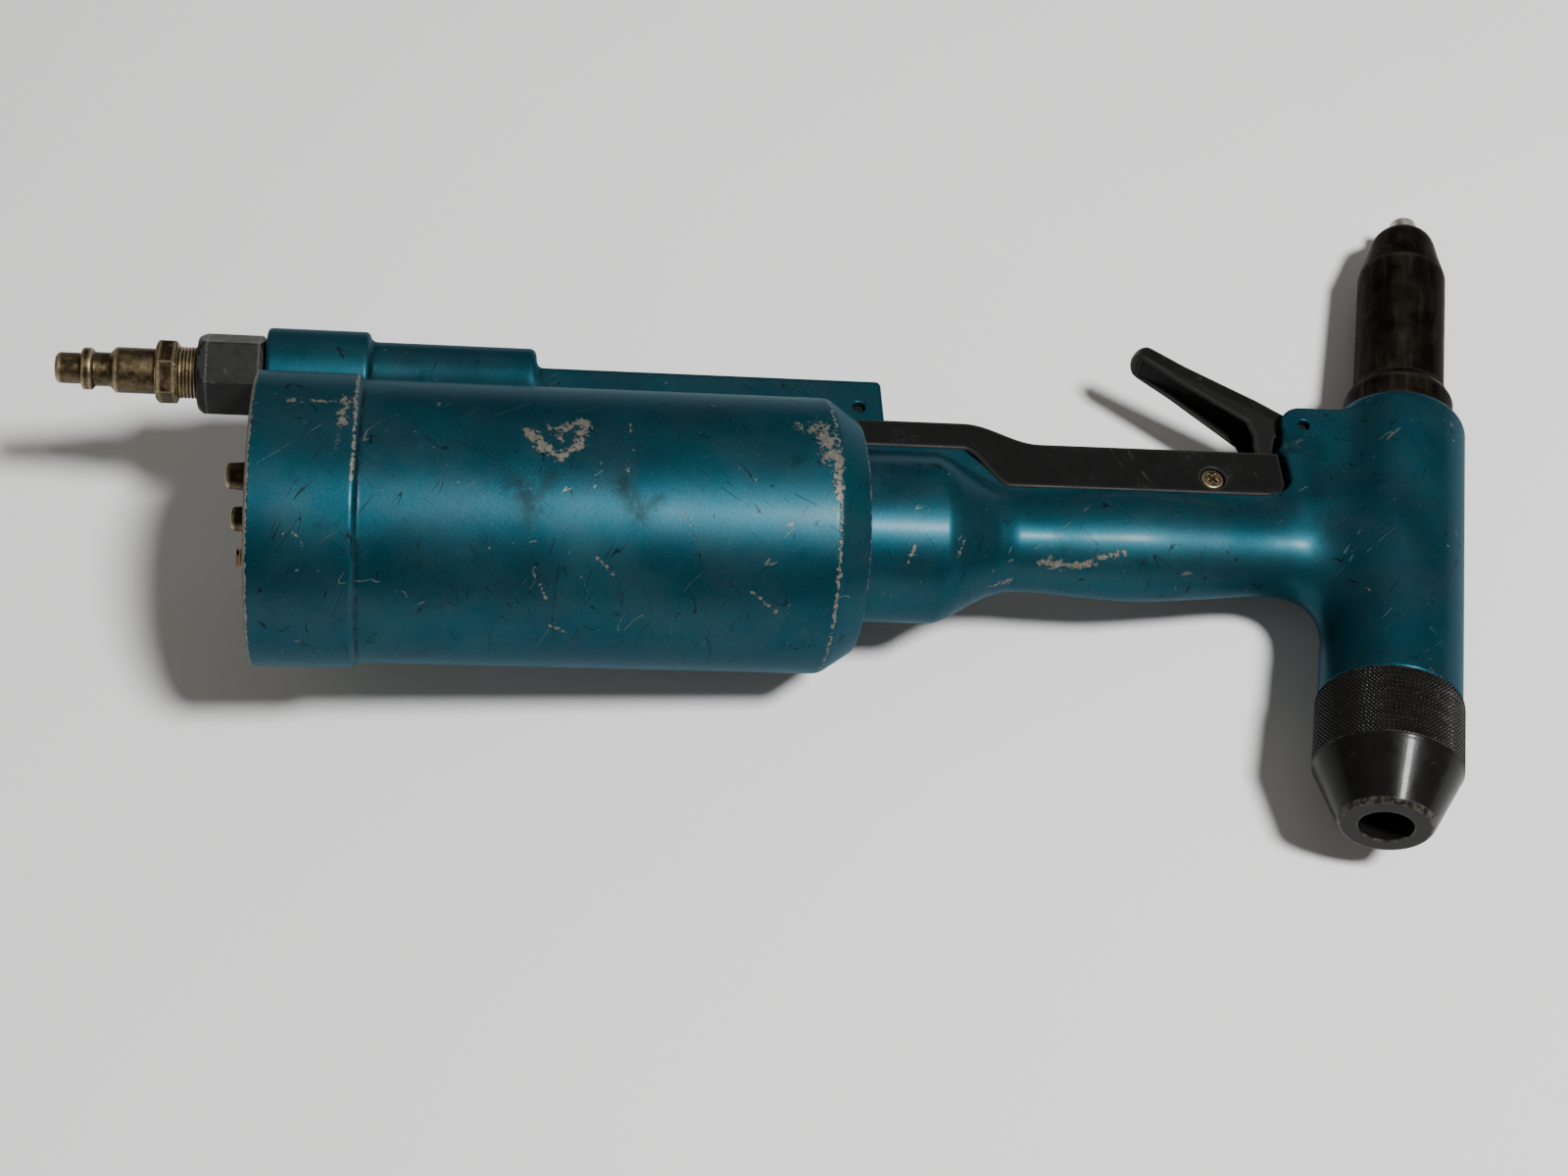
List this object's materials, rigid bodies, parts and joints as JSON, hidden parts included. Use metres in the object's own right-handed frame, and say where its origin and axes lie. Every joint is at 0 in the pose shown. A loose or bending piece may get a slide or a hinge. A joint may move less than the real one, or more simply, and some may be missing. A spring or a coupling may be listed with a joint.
{
  "type": "air hydraulic blind rivet gun",
  "caption": "Lever-operated air-over-oil blind rivet gun: large air cylinder, slim grip, cross-mounted pulling head with nose housing and knurled end cap, quick-connect air plug.",
  "frame": {"origin": "centre of the mandrel hole in the tip face of the nosepiece, on the pulling axis", "axes": "+X along the air cylinder and the grip, from the cylinder's open end to the head; +Y towards the nose; +Z square to the tool's middle plane. The pulling axis leans 13.4 degrees from +Y towards +X"},
  "size_m": [0.3868, 0.2072, 0.0736],
  "materials": {
    "teal_paint": "metallic gloss, worn",
    "black_plastic": "satin",
    "black_steel": "blackened",
    "oxide_steel": "worn black oxide",
    "steel": "ground",
    "spring_steel": "drawn wire",
    "brass": "dull",
    "old_brass": "brown patina",
    "bronze": "bearing bronze",
    "alloy": "machined",
    "rubber": "matte"
  },
  "bodies": {
    "gun": {"air_cylinder": "teal_paint", "base_plate": "alloy", "base_seal": "rubber", "retaining_ring": "steel", "silencers": "brass", "base_screw": "brass", "handle": "teal_paint", "handle_nut": "steel", "piston_bumper": "rubber", "ram_gland": "bronze", "ram_seal": "rubber", "oil_screw": "steel", "end_cap": "black_steel", "cap_seal": "rubber", "return_spring": "spring_steel", "rod_seal": "rubber", "nose_collar": "oxide_steel", "nose_housing": "oxide_steel", "nosepiece": "steel", "inlet_nut": "black_steel", "air_plug": "old_brass", "valve_bush": "brass", "valve_seat": "rubber", "valve_spring": "spring_steel", "stem_gland": "brass", "cover": "black_plastic", "cover_screws": "old_brass", "trigger_pin": "steel", "rocker_pin": "steel"},
    "trigger": {"trigger": "black_plastic", "trigger_link_pin": "steel"},
    "link": {"pull_link": "steel"},
    "rocker": {"rocker": "steel", "rocker_link_pin": "steel"},
    "valve": {"valve_stem": "steel", "valve_seals": "rubber"},
    "ram": {"air_piston": "alloy", "piston_seal": "rubber", "ram_rod": "steel", "ram_nut": "steel"},
    "puller": {"pull_piston": "steel", "pull_seal": "rubber", "ejection_tube": "steel", "jaw_case": "steel", "jaws": "steel", "jaw_pusher": "steel", "jaw_spring": "spring_steel"}
  },
  "joints": [
    {"name": "trigger_hinge", "type": "hinge", "parent": "gun", "child": "trigger", "pos_m": [-0.05055, -0.08581, 0], "axis": [0, 0, 1], "range_deg": [0, 20], "stiffness_Nm_per_rad": 0.6, "springref_deg": -20.05},
    {"name": "link_slide", "type": "slide", "parent": "gun", "child": "link", "axis": [1, 0, 0], "range_m": [0, 0.00501]},
    {"name": "rocker_hinge", "type": "hinge", "parent": "gun", "child": "rocker", "pos_m": [-0.17275, -0.08421, 0], "axis": [0, 0, 1], "range_deg": [0, 33.84]},
    {"name": "valve_slide", "type": "slide", "parent": "gun", "child": "valve", "axis": [-1, 0, 0], "range_m": [0, 0.00239], "deforming": ["valve_spring"]},
    {"name": "ram_slide", "type": "slide", "parent": "gun", "child": "ram", "axis": [1, 0, 0], "range_m": [0, 0.0891], "stiffness_N_per_m": 150, "springref_m": -0.1},
    {"name": "pull_slide", "type": "slide", "parent": "gun", "child": "puller", "axis": [-0.2317, -0.9728, 0], "range_m": [0, 0.018], "deforming": ["return_spring"]}
  ],
  "couplings": [
    {"joint": "link_slide", "follows": "trigger_hinge", "m_per_rad": 0.014356},
    {"joint": "rocker_hinge", "follows": "trigger_hinge", "ratio": 1.6917},
    {"joint": "valve_slide", "follows": "trigger_hinge", "m_per_rad": 0.0068468},
    {"joint": "pull_slide", "follows": "ram_slide", "ratio": 0.20202}
  ]
}
